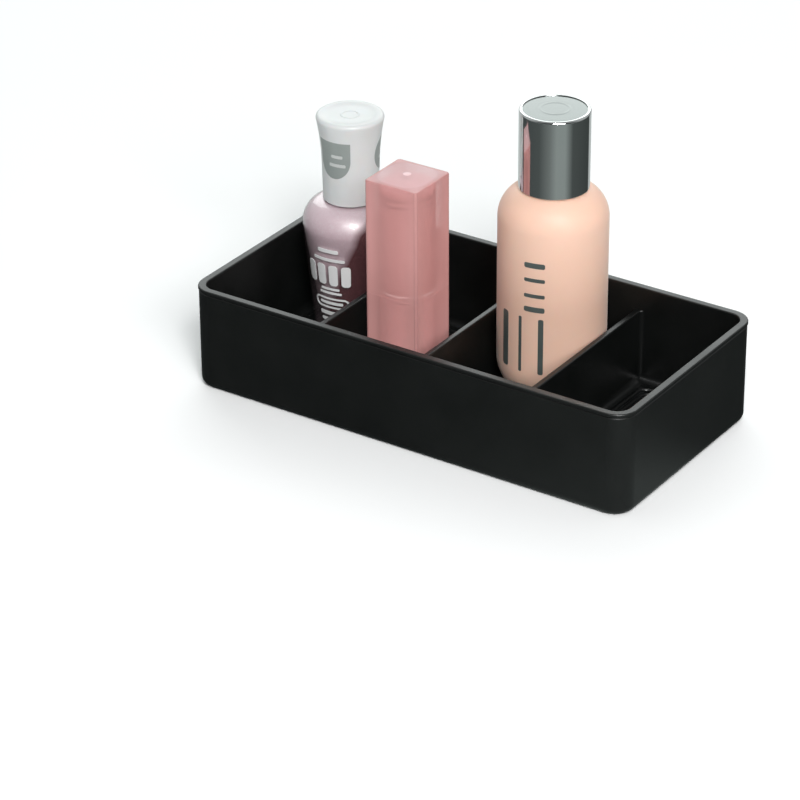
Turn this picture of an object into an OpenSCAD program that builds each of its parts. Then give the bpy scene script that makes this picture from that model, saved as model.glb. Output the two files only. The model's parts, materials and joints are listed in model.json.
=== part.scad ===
// Cosmetic organizer: a four-compartment tray stocked with a nail polish, a twist-up lip balm
// stick and a foundation bottle. Millimetres, +Z up, X along the tray's long side.
// The origin is the middle of the tray's underside. Bottles and stick stand on the tray's floor.

/* [Tray] */
// Length along X
tray_w = 178; // [176:1:190]
// Depth along Y
tray_d = 89; // [88:1:100]
// Height from underside to rim
tray_h = 39; // [32:1:50]
// Thickness of the outer walls
wall_t = 3; // [2:0.5:3.5]
// Thickness of the floor
floor_t = 2.5; // [2:0.5:4]
// Radius of the upright outer corners
corner_r = 8; // [6:1:12]
// Radius along the bottom edge
foot_r = 3.5; // [2:0.5:5]
// Step by which the wall sits back under the rim
rim_step = 0.25; // [0.1:0.05:0.5]
// Height of the rim band
rim_band_h = 1.2; // [0.8:0.2:3]
// Drop from the rim to the top of the dividers
divider_drop = 8.8; // [4:0.2:14]
// Thickness of each divider
divider_t = 2.3; // [1.5:0.1:2.5]
// Radius of the flare where a divider meets a wall
flare_r = 1.5; // [0.5:0.5:2]

/* [Nail polish] */
// Distance of the bottle's axis behind the tray's middle
polish_y = 22.3; // [10:0.1:23]
// Radius of the bottle's foot
polish_foot_r = 13.5; // [12:0.1:14]
// Largest radius of the bottle
polish_belly_r = 17.8; // [16:0.1:18]
// Height of the belly above the foot
polish_belly_h = 41.5; // [38:0.5:44]
// Height of the rounded shoulder
polish_shoulder_h = 9.3; // [8:0.1:11]
// Outer radius of the neck
polish_neck_r = 6.6; // [6:0.1:6.8]
// Height of the cap
polish_cap_h = 32.5; // [28:0.5:36]
// Radius of the cap at its lower edge
polish_cap_r = 10.1; // [9.6:0.1:11]

/* [Lip balm] */
// Distance of the stick's axis behind the tray's middle
balm_y = -6.5; // [-20:0.5:20]
// Width across the flats
balm_w = 21.3; // [20.8:0.1:23]
// Total height
balm_h = 81.3; // [78:0.1:86]
// Height of the seam between base and cap
balm_seam_h = 38.3; // [36:0.1:40]
// Corner radius
balm_corner_r = 0.8; // [0.8:0.1:2.5]

/* [Foundation] */
// Distance of the bottle's axis behind the tray's middle
foundation_y = 19; // [5:0.5:20]
// Radius of the bottle
foundation_r = 19.4; // [18:0.1:20]
// Height at which the straight wall begins
foundation_foot_h = 14.5; // [10:0.5:18]
// Height at which the straight wall ends
foundation_wall_h = 67.5; // [60:0.5:72]
// Height of the rounded shoulder
foundation_shoulder_h = 11.7; // [10:0.1:13]
// Radius of the cap
foundation_cap_r = 12.4; // [12.2:0.1:14]
// Height of the cap
foundation_cap_h = 28.9; // [26:0.1:34]

/* [Hidden] */
$fn = 64;

// Cuts run past the faces that they open by this much
past = 1;
// Embedding of one feature of a moulding in the next
root = 0.5;
// Gap under whatever stands on the floor
stand_gap = 0.2;
// Clearance between parts that slide or nest
fit = 0.1;
// Clearance of a press fit
press_fit = 0.03;

inner_w = tray_w - 2 * wall_t;
inner_d = tray_d - 2 * wall_t;
inner_r = corner_r - wall_t;
cells = 4;
cell_pitch = (inner_w + divider_t) / cells;
cell_w = cell_pitch - divider_t;
divider_top = tray_h - divider_drop;
seat_z = floor_t + stand_gap;

// Moulded grooves in each compartment's floor: distances from the compartment's walls
groove_insets = [4.2, 6.8];
groove_w = 0.9;
groove_depth = 0.6;
groove_corner_r = 3;

// Nail polish, heights above the bottle's foot
polish_neck_bore_r = 4.6;
polish_shoulder_in_r = 9.5;
polish_neck_z = polish_belly_h + polish_shoulder_h;
polish_neck_h = 9.2;
polish_mouth_z = polish_neck_z + polish_neck_h;
polish_base_t = 5.5;
polish_wall_t = 2.2;
polish_thread_h = 1.2;
polish_thread_out = 0.7;
polish_thread_rises = [2.6, 5.4];
polish_cap_z = polish_neck_z + 0.4;
polish_cap_wall = 1.3;
polish_fill_z = 48;
polish_seal_gap = 0.2;
polish_liner_h = 1;
polish_ceiling_z = polish_mouth_z + 2 * polish_seal_gap + polish_liner_h;
polish_cap_top_t = 2.5;
polish_stem_r = 1.9;
polish_socket_h = 4;
polish_stem_low_z = 24;
polish_brush_low_z = 8;
polish_dip_r = 3.2;
ball_r = 1.7;
ball_pitch_r = 6.5;

// Lip balm, heights above the stick's foot
balm_bore_r = 9.9;
balm_floor_t = 3;
balm_plug_r = 8.4;
balm_plug_t = 1.5;
balm_spiral_r = 9.75;
balm_spiral_bore_r = 8.6;
balm_spiral_top_z = balm_seam_h - 2.3;
balm_tube_r = 8.3;
balm_tube_bore_r = 7.5;
balm_tube_low_z = 4;
balm_tube_top_z = 52;
balm_collar_r = 9.3;
balm_collar_low_z = balm_seam_h - 1.8;
balm_collar_top_z = balm_tube_top_z - 3;
balm_cup_r = 7.3;
balm_cup_low_z = 9;
balm_cup_h = 12;
balm_cup_wall = 1;
balm_bullet_r = 6.1;
balm_bullet_top_z = 46;
balm_rise = 18;
balm_slot_w = 2.4;
balm_lug_w = 1.8;
balm_seam_gap = 0.2;
balm_cap_top_t = 2.5;
balm_ceiling_z = balm_h - balm_cap_top_t;

// Foundation, heights above the bottle's foot
foundation_foot_r = 8;
foundation_shell_t = 1.6;
foundation_neck_r = 8;
foundation_neck_bore_r = 6;
foundation_neck_z = foundation_wall_h + foundation_shoulder_h;
foundation_mouth_z = foundation_neck_z + 12.8;
foundation_fill_z = 64;
foundation_thread_h = 1.4;
foundation_thread_out = 0.9;
foundation_thread_rises = [3.4, 7];
foundation_cap_z = foundation_neck_z - 0.4;
foundation_cap_top_z = foundation_cap_z + foundation_cap_h;
foundation_cap_shell_t = 0.6;
foundation_nozzle_flange_t = 0.5;
foundation_seal_gap = 0.2;
foundation_liner_h = 0.9;
foundation_ceiling_z = foundation_mouth_z + foundation_nozzle_flange_t
    + 2 * foundation_seal_gap + foundation_liner_h;
foundation_disc_r = 11.2;
foundation_disc_t = 0.6;

// ---- Shared shapes ----

// Middle of compartment i, counted from the left
function cell_x(i) = (i - (cells - 1) / 2) * cell_pitch;

// Points on an elliptical arc in a lathe outline, from angle a0 to a1
function arc(cx, cz, rx, rz, a0, a1, steps = 10) =
    [for (k = [0:steps]) let (a = a0 + (a1 - a0) * k / steps) [cx + rx * cos(a), cz + rz * sin(a)]];

// Rectangle with rounded corners, centred
module plan(w, d, r) {
    square([w - 2 * r, d], center = true);
    square([w, d - 2 * r], center = true);
    for (sx = [-1, 1], sy = [-1, 1])
        translate([sx * (w / 2 - r), sy * (d / 2 - r)])
            circle(r);
}

// Upright outline of a box side with its two lower corners rounded
module side(w, h, r) {
    translate([-w / 2, r])
        square([w, h - r]);
    translate([-w / 2 + r, 0])
        square([w - 2 * r, h]);
    for (sx = [-1, 1])
        translate([sx * (w / 2 - r), r])
            circle(r);
}

// Tube between two heights
module tube(r_out, r_in, z0, z1) {
    translate([0, 0, z0])
        difference() {
            cylinder(r = r_out, h = z1 - z0);
            translate([0, 0, -past])
                cylinder(r = r_in, h = z1 - z0 + 2 * past);
        }
}

// Disc or rod between two heights
module rod(r, z0, z1) {
    translate([0, 0, z0])
        cylinder(r = r, h = z1 - z0);
}

module polish_place() {
    translate([cell_x(0), polish_y, seat_z])
        children();
}

module balm_place() {
    translate([cell_x(1), balm_y, seat_z])
        children();
}

module foundation_place() {
    translate([cell_x(2), foundation_y, seat_z])
        children();
}

// ---- Tray ----

module tray_block() {
    intersection() {
        union() {
            linear_extrude(tray_h - rim_band_h)
                plan(tray_w - 2 * rim_step, tray_d - 2 * rim_step, corner_r - rim_step);
            translate([0, 0, tray_h - rim_band_h])
                linear_extrude(rim_band_h)
                    plan(tray_w, tray_d, corner_r);
        }
        rotate([90, 0, 90])
            linear_extrude(tray_w + past, center = true)
                side(tray_d, tray_h, foot_r);
        rotate([90, 0, 0])
            linear_extrude(tray_d + past, center = true)
                side(tray_w, tray_h, foot_r);
    }
}

// Outline of one divider seen from above, flared where it meets the long walls
module divider_plan() {
    square([divider_t, inner_d + 2 * root], center = true);
    for (sy = [-1, 1])
        scale([1, sy, 1])
            difference() {
                translate([-divider_t / 2 - flare_r, inner_d / 2 - flare_r])
                    square([divider_t + 2 * flare_r, flare_r + root]);
                for (sx = [-1, 1])
                    translate([sx * (divider_t / 2 + flare_r), inner_d / 2 - flare_r])
                        circle(flare_r);
            }
}

module floor_groove(inset) {
    translate([0, 0, floor_t - groove_depth])
        linear_extrude(groove_depth + past)
            difference() {
                plan(cell_w - 2 * inset, inner_d - 2 * inset, groove_corner_r);
                plan(cell_w - 2 * inset - 2 * groove_w, inner_d - 2 * inset - 2 * groove_w,
                     groove_corner_r - groove_w);
            }
}

module tray() {
    color("#1c2020") {
        difference() {
            tray_block();
            translate([0, 0, floor_t])
                linear_extrude(tray_h)
                    plan(inner_w, inner_d, inner_r);
            for (i = [0:cells - 1], inset = groove_insets)
                translate([cell_x(i), 0, 0])
                    floor_groove(inset);
        }
        for (i = [1:cells - 1])
            translate([cell_x(i) - cell_pitch / 2, 0, floor_t - root])
                linear_extrude(divider_top - floor_t + root)
                    divider_plan();
    }
}

// ---- Nail polish ----

// Room inside the bottle below the neck, shrunk by a gap, filled up to a height
function polish_inside(gap, top_z) =
    let (foot = polish_foot_r - polish_wall_t - gap,
         belly = polish_belly_r - polish_wall_t - gap,
         in_r = polish_neck_bore_r,
         rise = polish_shoulder_h - polish_wall_t - gap,
         stop = min(90, asin(min(1, (top_z - polish_belly_h) / rise))))
    concat([[0, polish_base_t + gap], [foot - 2, polish_base_t + gap], [foot, polish_base_t + 2]],
           arc(in_r, polish_belly_h, belly - in_r, rise, 0, stop),
           [[0, polish_belly_h + rise * sin(stop)]]);

module polish_bottle() {
    foot_round = 1.6;
    mouth_round = 0.8;
    color("#e8dfe2", 0.45)
        polish_place()
            difference() {
                union() {
                    rotate_extrude()
                        polygon(concat(
                            [[0, 0]],
                            arc(polish_foot_r - foot_round, foot_round, foot_round, foot_round,
                                -90, 0, 6),
                            arc(polish_shoulder_in_r, polish_belly_h,
                                polish_belly_r - polish_shoulder_in_r, polish_shoulder_h, 0, 90),
                            [[polish_neck_r, polish_neck_z],
                             [polish_neck_r, polish_mouth_z - mouth_round],
                             [polish_neck_r - mouth_round, polish_mouth_z],
                             [0, polish_mouth_z]]));
                    for (rise = polish_thread_rises, z = [polish_neck_z + rise])
                        rod(polish_neck_r + polish_thread_out, z, z + polish_thread_h);
                }
                rotate_extrude()
                    polygon(polish_inside(0, polish_neck_z));
                rod(polish_neck_bore_r, polish_belly_h, polish_mouth_z + past);
            }
}

module polish_lacquer() {
    color("#b98d9b")
        polish_place()
            difference() {
                rotate_extrude()
                    polygon(polish_inside(fit, polish_fill_z));
                rod(polish_dip_r, polish_brush_low_z - 1, polish_fill_z + past);
                mixing_balls(ball_r + fit);
            }
}

module mixing_balls(r) {
    for (a = [200, 320])
        rotate([0, 0, a])
            translate([ball_pitch_r, 0, polish_base_t + ball_r + 0.5])
                sphere(r);
}

module polish_mixing_balls() {
    color("#c4c6c8")
        polish_place()
            mixing_balls(ball_r);
}

// Washer that seals the mouth and lifts away with the cap
module polish_liner() {
    color("#f2efe6")
        polish_place()
            tube(polish_neck_r + polish_seal_gap, polish_stem_r + 0.9,
                 polish_mouth_z + polish_seal_gap, polish_ceiling_z - polish_seal_gap);
}

// Threaded inner cap that carries the stem
module polish_inner_cap() {
    out_r = polish_cap_r - polish_cap_wall - fit;
    bore_r = polish_neck_r + polish_thread_out + 2 * fit;
    crown_z = polish_cap_z + polish_cap_h - polish_cap_top_t - 2 * fit;
    wall_t = 1.4;
    web_t = 1.5;
    color("#f4f4f2")
        polish_place()
            difference() {
                rod(out_r, polish_cap_z + 0.4, crown_z);
                rod(bore_r, polish_cap_z, polish_ceiling_z);
                rod(polish_stem_r + press_fit, polish_ceiling_z - past,
                    polish_ceiling_z + polish_socket_h + fit);
                rod(out_r - wall_t, polish_ceiling_z + polish_socket_h + web_t, crown_z + past);
            }
}

// Radius of the flared outer cap at a height above its lower edge
function polish_flare(z) =
    let (taper = 0.02, bend = 0.0052, bend_low_z = 14)
    polish_cap_r + taper * z + bend * pow(max(0, z - bend_low_z), 2);

// Flared outer cap, a shell with a dished top
module polish_outer_cap() {
    top_round = 1.2;
    straight = polish_cap_h - top_round;
    steps = 12;
    wall = [for (k = [0:steps]) let (z = straight * k / steps) [polish_flare(z), z]];
    dish_r = polish_flare(straight) - 3;
    dish_h = 0.5;
    bore_r = polish_cap_r - polish_cap_wall;
    color("#f6f6f4")
        polish_place()
            translate([0, 0, polish_cap_z])
                difference() {
                    rotate_extrude()
                        polygon(concat(
                            [[0, 0]], wall,
                            arc(polish_flare(straight) - top_round, straight, top_round,
                                top_round, 15, 90, 5),
                            [[dish_r, polish_cap_h - dish_h], [0, polish_cap_h - dish_h]]));
                    rod(bore_r, -past, polish_cap_h - polish_cap_top_t);
                }
}

module polish_stem() {
    color("#f0f0ee")
        polish_place()
            rod(polish_stem_r, polish_stem_low_z, polish_ceiling_z + polish_socket_h);
}

module polish_brush() {
    mid_z = (polish_brush_low_z + polish_stem_low_z) / 2;
    color("#2b2629")
        polish_place()
            rotate_extrude()
                polygon([[0, polish_brush_low_z], [1.4, polish_brush_low_z + 0.6], [2.3, mid_z],
                         [polish_stem_r - 0.2, polish_stem_low_z], [0, polish_stem_low_z]]);
}

// ---- Lip balm ----

module balm_block(z0, z1) {
    translate([0, 0, z0])
        linear_extrude(z1 - z0)
            plan(balm_w, balm_w, balm_corner_r);
}

module balm_base_shell() {
    color("#c98f8c", 0.75)
        balm_place()
            difference() {
                balm_block(0, balm_seam_h);
                rod(balm_bore_r, balm_floor_t, balm_seam_h + past);
                rod(balm_plug_r + fit, -past, balm_plug_t + fit);
            }
}

module balm_base_plug() {
    color("#b97f7d")
        balm_place()
            rod(balm_plug_r, 0, balm_plug_t);
}

// Sleeve that turns with the base and drives the cup's lugs
module balm_spiral() {
    color("#d8a4a1")
        balm_place()
            tube(balm_spiral_r, balm_spiral_bore_r, balm_floor_t, balm_spiral_top_z);
}

// Slotted tube that stops the cup from turning
module balm_guide_tube() {
    slot_low_z = balm_cup_low_z - 0.8;
    slot_top_z = balm_cup_low_z + balm_rise + 3.5;
    color("#e3b6b2")
        balm_place()
            difference() {
                tube(balm_tube_r, balm_tube_bore_r, balm_tube_low_z, balm_tube_top_z);
                translate([-balm_tube_r - past, -balm_slot_w / 2, slot_low_z])
                    cube([2 * (balm_tube_r + past), balm_slot_w, slot_top_z - slot_low_z]);
            }
}

// Collar on the tube that the cap's sleeve grips
module balm_collar() {
    color("#dcaaa7")
        balm_place()
            tube(balm_collar_r, balm_tube_r + press_fit, balm_collar_low_z, balm_collar_top_z);
}

module balm_cup() {
    lug_h = 2;
    color("#d9d2cf")
        balm_place()
            difference() {
                union() {
                    rod(balm_cup_r, balm_cup_low_z, balm_cup_low_z + balm_cup_h);
                    translate([-balm_tube_r, -balm_lug_w / 2, balm_cup_low_z])
                        cube([2 * balm_tube_r, balm_lug_w, lug_h]);
                }
                rod(balm_cup_r - balm_cup_wall, balm_cup_low_z + balm_cup_wall,
                    balm_cup_low_z + balm_cup_h + past);
            }
}

// Balm with a domed tip
module balm_bullet() {
    tip_h = 5;
    low_z = balm_cup_low_z + balm_cup_wall + fit;
    color("#cf7f86")
        balm_place()
            rotate_extrude()
                polygon(concat([[0, low_z], [balm_bullet_r, low_z]],
                               arc(0, balm_bullet_top_z - tip_h, balm_bullet_r, tip_h, 0, 90)));
}

module balm_cap_shell() {
    color("#c98f8c", 0.75)
        balm_place()
            difference() {
                balm_block(balm_seam_h + balm_seam_gap, balm_h);
                rod(balm_bore_r, balm_seam_h, balm_ceiling_z);
            }
}

// Round sleeve inside the cap, closed at the top
module balm_cap_sleeve() {
    top_t = 1;
    low_z = balm_seam_h + 2 * balm_seam_gap;
    color("#d39d9a")
        balm_place()
            difference() {
                rod(balm_bore_r - fit / 2, low_z, balm_ceiling_z - fit);
                rod(balm_collar_r + fit, low_z - past, balm_ceiling_z - fit - top_t);
            }
}

// ---- Foundation ----

// Lathe outline of the bottle below the neck, shrunk by an inset
function foundation_outline(inset) =
    let (bulge = foundation_r - foundation_foot_r - inset)
    concat([[0, inset]],
           arc(foundation_foot_r, foundation_foot_h, bulge, foundation_foot_h - inset, -90, 0),
           arc(foundation_foot_r, foundation_wall_h, bulge, foundation_shoulder_h - inset, 0, 90),
           [[0, foundation_wall_h + foundation_shoulder_h - inset]]);

module foundation_bottle() {
    color("#e5bea5")
        foundation_place()
            difference() {
                union() {
                    rotate_extrude()
                        polygon(foundation_outline(0));
                    rod(foundation_neck_r, foundation_wall_h, foundation_mouth_z);
                    for (rise = foundation_thread_rises, z = [foundation_neck_z + rise])
                        rod(foundation_neck_r + foundation_thread_out, z, z + foundation_thread_h);
                }
                rotate_extrude()
                    polygon(foundation_outline(foundation_shell_t));
                rod(foundation_neck_bore_r, foundation_wall_h, foundation_mouth_z + past);
            }
}

module foundation_fluid() {
    color("#dcae92")
        foundation_place()
            intersection() {
                rotate_extrude()
                    polygon(foundation_outline(foundation_shell_t + fit));
                rod(foundation_r, 0, foundation_fill_z);
            }
}

// Orifice plug pressed into the neck
module foundation_nozzle() {
    skirt_h = 7;
    wall_t = 1;
    hole_r = 0.9;
    color("#ececea")
        foundation_place()
            difference() {
                union() {
                    rod(foundation_neck_bore_r - press_fit, foundation_mouth_z - skirt_h,
                        foundation_mouth_z);
                    rod(foundation_neck_r - 0.4, foundation_mouth_z,
                        foundation_mouth_z + foundation_nozzle_flange_t);
                }
                rod(foundation_neck_bore_r - wall_t, foundation_mouth_z - skirt_h - past,
                    foundation_mouth_z - wall_t);
                rod(hole_r, foundation_mouth_z - wall_t - past, foundation_mouth_z + past);
            }
}

// Foam wad that seals the nozzle and lifts away with the cap
module foundation_liner() {
    color("#f1ede4")
        foundation_place()
            rod(foundation_neck_r, foundation_ceiling_z - foundation_seal_gap - foundation_liner_h,
                foundation_ceiling_z - foundation_seal_gap);
}

// Threaded inner cap: a screw skirt hung inside an outer tube
module foundation_inner_cap() {
    out_r = foundation_cap_r - foundation_cap_shell_t - fit;
    low_z = foundation_cap_z + 0.9;
    crown_z = foundation_cap_top_z - 1.6;
    tube_t = 0.9;
    ceiling_t = 1.4;
    bore_r = foundation_neck_r + foundation_thread_out + 3 * fit;
    skirt_t = 0.8;
    color("#f3f3f1")
        foundation_place() {
            tube(out_r, out_r - tube_t, low_z, crown_z);
            tube(bore_r + skirt_t, bore_r, low_z + skirt_t, foundation_ceiling_z + ceiling_t);
            rod(out_r - 0.5, foundation_ceiling_z, foundation_ceiling_z + ceiling_t);
        }
}

module foundation_cap_shell() {
    edge = 0.5;
    top_t = 1.4;
    color("#c9cdcc")
        foundation_place()
            translate([0, 0, foundation_cap_z])
                difference() {
                    rotate_extrude()
                        polygon([[0, 0], [foundation_cap_r, 0],
                                 [foundation_cap_r, foundation_cap_h - edge],
                                 [foundation_cap_r - edge, foundation_cap_h],
                                 [0, foundation_cap_h]]);
                    rod(foundation_cap_r - foundation_cap_shell_t, -past, foundation_cap_h - top_t);
                    rod(foundation_disc_r + fit, foundation_cap_h - foundation_disc_t,
                        foundation_cap_h + past);
                }
}

module foundation_cap_disc() {
    color("#b9bdbc")
        foundation_place()
            rod(foundation_disc_r, foundation_cap_top_z - foundation_disc_t + press_fit,
                foundation_cap_top_z);
}

tray();
polish_bottle();
polish_lacquer();
polish_mixing_balls();
polish_liner();
polish_inner_cap();
polish_outer_cap();
polish_stem();
polish_brush();
balm_base_shell();
balm_base_plug();
balm_spiral();
balm_guide_tube();
balm_collar();
balm_cup();
balm_bullet();
balm_cap_shell();
balm_cap_sleeve();
foundation_bottle();
foundation_fluid();
foundation_nozzle();
foundation_liner();
foundation_inner_cap();
foundation_cap_shell();
foundation_cap_disc();
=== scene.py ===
"""Stocked cosmetic organizer: a black divided tray with a nail polish, a lip balm and a foundation.

Outlines are in millimetres, with heights above the foot of the container that they belong to.
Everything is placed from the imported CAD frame.
"""
import json
import math
import random
from collections import namedtuple

import bmesh
import bpy
from mathutils import Matrix, Vector

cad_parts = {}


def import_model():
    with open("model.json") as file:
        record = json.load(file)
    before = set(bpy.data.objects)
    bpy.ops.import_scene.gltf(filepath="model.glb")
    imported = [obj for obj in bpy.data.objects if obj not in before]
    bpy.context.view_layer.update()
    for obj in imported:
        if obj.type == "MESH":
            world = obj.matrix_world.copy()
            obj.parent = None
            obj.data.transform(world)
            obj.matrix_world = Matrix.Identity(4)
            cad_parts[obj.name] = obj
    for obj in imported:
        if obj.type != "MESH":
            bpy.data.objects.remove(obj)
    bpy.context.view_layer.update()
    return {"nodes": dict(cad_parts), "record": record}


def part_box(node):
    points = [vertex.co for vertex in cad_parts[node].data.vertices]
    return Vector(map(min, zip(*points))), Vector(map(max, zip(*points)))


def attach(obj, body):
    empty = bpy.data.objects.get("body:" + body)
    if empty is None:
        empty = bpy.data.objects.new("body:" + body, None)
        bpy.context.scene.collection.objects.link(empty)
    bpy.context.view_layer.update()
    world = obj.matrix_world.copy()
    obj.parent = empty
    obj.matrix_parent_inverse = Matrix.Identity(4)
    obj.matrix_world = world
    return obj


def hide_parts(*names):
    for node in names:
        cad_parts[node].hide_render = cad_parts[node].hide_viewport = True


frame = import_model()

MM = 0.001
scene = bpy.context.scene

# ---------------------------------------------------------------- measures from the frame

Span = namedtuple("Span", "x y z h r")


def span(node):
    """Centre, foot height, height and half width of a CAD node, in millimetres."""
    low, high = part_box(node)
    middle = (low + high) / 2 / MM
    return Span(middle.x, middle.y, low.z / MM, (high.z - low.z) / MM, (high.x - low.x) / 2 / MM)


TRAY = span("tray")
POLISH = span("polish_bottle")
BALM = span("balm_base_shell")
FOUNDATION = span("foundation_bottle")
BALM_CAP_TOP = span("balm_cap_shell").z + span("balm_cap_shell").h


# ---------------------------------------------------------------- camera

CAMERA_TURN = math.radians(33.905)
CAMERA_TILT = math.radians(28.426)
CAMERA_ROLL = math.radians(-0.377)
CAMERA_PLACE = Vector((599.24, -935.88, 601.38)) * MM
LENS = 160.8


def make_camera():
    """Camera at the viewing angle, from above the tray's right front corner."""
    back = Vector((math.sin(CAMERA_TURN) * math.cos(CAMERA_TILT),
                   -math.cos(CAMERA_TURN) * math.cos(CAMERA_TILT),
                   math.sin(CAMERA_TILT)))
    right = Vector((math.cos(CAMERA_TURN), math.sin(CAMERA_TURN), 0))
    up = back.cross(right)
    axes = Matrix((right, up, back)).transposed() @ Matrix.Rotation(CAMERA_ROLL, 3, "Z")
    data = bpy.data.cameras.new("camera")
    data.sensor_width = 36
    data.lens = LENS
    data.clip_end = 20
    camera = bpy.data.objects.new("camera", data)
    scene.collection.objects.link(camera)
    camera.matrix_world = Matrix.Translation(CAMERA_PLACE) @ axes.to_4x4()
    scene.camera = camera
    return back


towards_camera = make_camera()
LEVEL_VIEW = Vector((towards_camera.x, towards_camera.y, 0)).normalized()
TO_CAMERA = CAMERA_TURN - math.pi / 2


# ---------------------------------------------------------------- materials

class Look:
    """A procedural material around one Principled shader. Textures lie in object space, in metres."""

    def __init__(self, name, **sockets):
        self.material = bpy.data.materials.new(name)
        self.material.use_nodes = True
        self.nodes = self.material.node_tree.nodes
        self.links = self.material.node_tree.links
        self.shader = self.nodes["Principled BSDF"]
        self.space = self.nodes.new("ShaderNodeTexCoord").outputs["Object"]
        for socket, value in sockets.items():
            self.shader.inputs[socket.replace("_", " ")].default_value = value

    def node(self, kind, inputs=(), **settings):
        made = self.nodes.new("ShaderNode" + kind)
        for key, value in settings.items():
            setattr(made, key, value)
        for key, value in dict(inputs).items():
            if isinstance(value, bpy.types.NodeSocket):
                self.links.new(value, made.inputs[key])
            else:
                made.inputs[key].default_value = value
        return made

    def noise(self, scale, detail=3.0):
        return self.node("TexNoise", {"Vector": self.space, "Scale": scale,
                                      "Detail": detail}).outputs["Fac"]

    def height(self, low, high):
        """Rises from 0 to 1 between two heights, in metres."""
        return self.between(self.node("SeparateXYZ", {0: self.space}).outputs["Z"], low, high)

    def radius(self, place):
        """Distance from a container's axis, in metres."""
        middle = self.offset((place.x * MM, place.y * MM, 0))
        level = self.node("VectorMath", {0: middle, 1: (1, 1, 0)}, operation="MULTIPLY").outputs[0]
        return self.node("VectorMath", {0: level}, operation="LENGTH").outputs["Value"]

    def offset(self, place):
        """Place in object space, from a point given in metres."""
        return self.node("VectorMath", {0: self.space, 1: place}, operation="SUBTRACT").outputs[0]

    def dot(self, vector, way):
        return self.node("VectorMath", {0: vector, 1: way}, operation="DOT_PRODUCT").outputs["Value"]

    def cells(self, scale):
        return self.node("TexVoronoi", {"Vector": self.space, "Scale": scale}).outputs["Color"]

    def between(self, value, low, high, to_low=0.0, to_high=1.0):
        return self.node("MapRange", {"Value": value, "From Min": low, "From Max": high,
                                      "To Min": to_low, "To Max": to_high}).outputs[0]

    def ramp(self, value, *stops):
        made = self.node("ValToRGB", {"Fac": value})
        points = made.color_ramp.elements
        while len(points) < len(stops):
            points.new(0.5)
        for point, (place, colour) in zip(points, stops):
            point.position = place
            point.color = (*colour, 1)
        return made.outputs["Color"]

    def mix(self, share, first, second):
        made = self.node("Mix", {0: share}, data_type="RGBA")
        for index, value in ((6, first), (7, second)):
            if isinstance(value, bpy.types.NodeSocket):
                self.links.new(value, made.inputs[index])
            else:
                made.inputs[index].default_value = (*value, 1)
        return made.outputs[2]

    def drive(self, socket, value):
        self.links.new(value, self.shader.inputs[socket])
        return self

    def relief(self, height, strength, distance=0.05):
        """Bump, with the distance in millimetres."""
        below = self.shader.inputs["Normal"].links
        inputs = {"Height": height, "Strength": strength, "Distance": distance * MM}
        if below:
            inputs["Normal"] = below[0].from_socket
        made = self.node("Bump", inputs)
        self.links.new(made.outputs[0], self.shader.inputs["Normal"])
        return self


def tray_plastic():
    """Matte black moulding with a fine spark-eroded grain and faint rubbed patches."""
    look = Look("tray_plastic", Specular_IOR_Level=0.5)
    rubbed = look.noise(55, 5)
    look.drive("Base Color", look.ramp(rubbed, (0.3, (0.0030, 0.0036, 0.0034)),
                                       (0.7, (0.0048, 0.0055, 0.0052))))
    look.drive("Roughness", look.between(rubbed, 0.3, 0.7, 0.33, 0.42))
    look.relief(look.noise(2600, 2), 0.25, 0.03)
    look.relief(look.noise(70, 2), 0.15, 0.10)
    return look.material


def soft_touch():
    """Peach soft-touch lacquer over a squeezable bottle."""
    look = Look("foundation_soft_touch", Subsurface_Weight=0.12, Subsurface_Scale=0.004,
                Specular_IOR_Level=0.35, Sheen_Weight=0.15, Sheen_Roughness=0.4)
    tone = look.noise(38, 4)
    look.drive("Base Color", look.ramp(tone, (0.25, (0.755, 0.490, 0.375)),
                                       (0.75, (0.795, 0.525, 0.410))))
    look.drive("Roughness", look.between(look.noise(160, 4), 0.3, 0.7, 0.42, 0.52))
    look.relief(look.noise(3200, 2), 0.2, 0.02)
    return look.material


def chrome():
    """Bright plated metal with the faintest handling marks."""
    look = Look("foundation_chrome", Metallic=1.0)
    look.drive("Base Color", look.ramp(look.noise(25, 3), (0.3, (0.72, 0.74, 0.735)),
                                       (0.7, (0.78, 0.795, 0.79))))
    look.drive("Roughness", look.between(look.noise(420, 5), 0.35, 0.75, 0.045, 0.10))
    return look.material


def disc_silver():
    """Satin silver disc, turned on a lathe."""
    look = Look("foundation_disc_silver", Metallic=1.0, Roughness=0.26)
    rings = look.node("TexNoise", {"W": look.radius(FOUNDATION), "Scale": 5200.0, "Detail": 3.0},
                      noise_dimensions="1D").outputs["Fac"]
    look.drive("Base Color", look.ramp(rings, (0.3, (0.175, 0.19, 0.185)), (0.7, (0.22, 0.235, 0.23))))
    look.relief(rings, 0.12, 0.02)
    return look.material


def white_cap():
    """Satin white plastic."""
    look = Look("polish_cap_white", Subsurface_Weight=0.08, Subsurface_Scale=0.003,
                Specular_IOR_Level=0.45)
    tone = look.noise(60, 4)
    look.drive("Base Color", look.ramp(tone, (0.3, (0.60, 0.62, 0.62)), (0.7, (0.65, 0.67, 0.67))))
    look.drive("Roughness", look.between(look.noise(300, 4), 0.3, 0.7, 0.28, 0.38))
    look.relief(look.noise(2400, 2), 0.12, 0.02)
    return look.material


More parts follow.
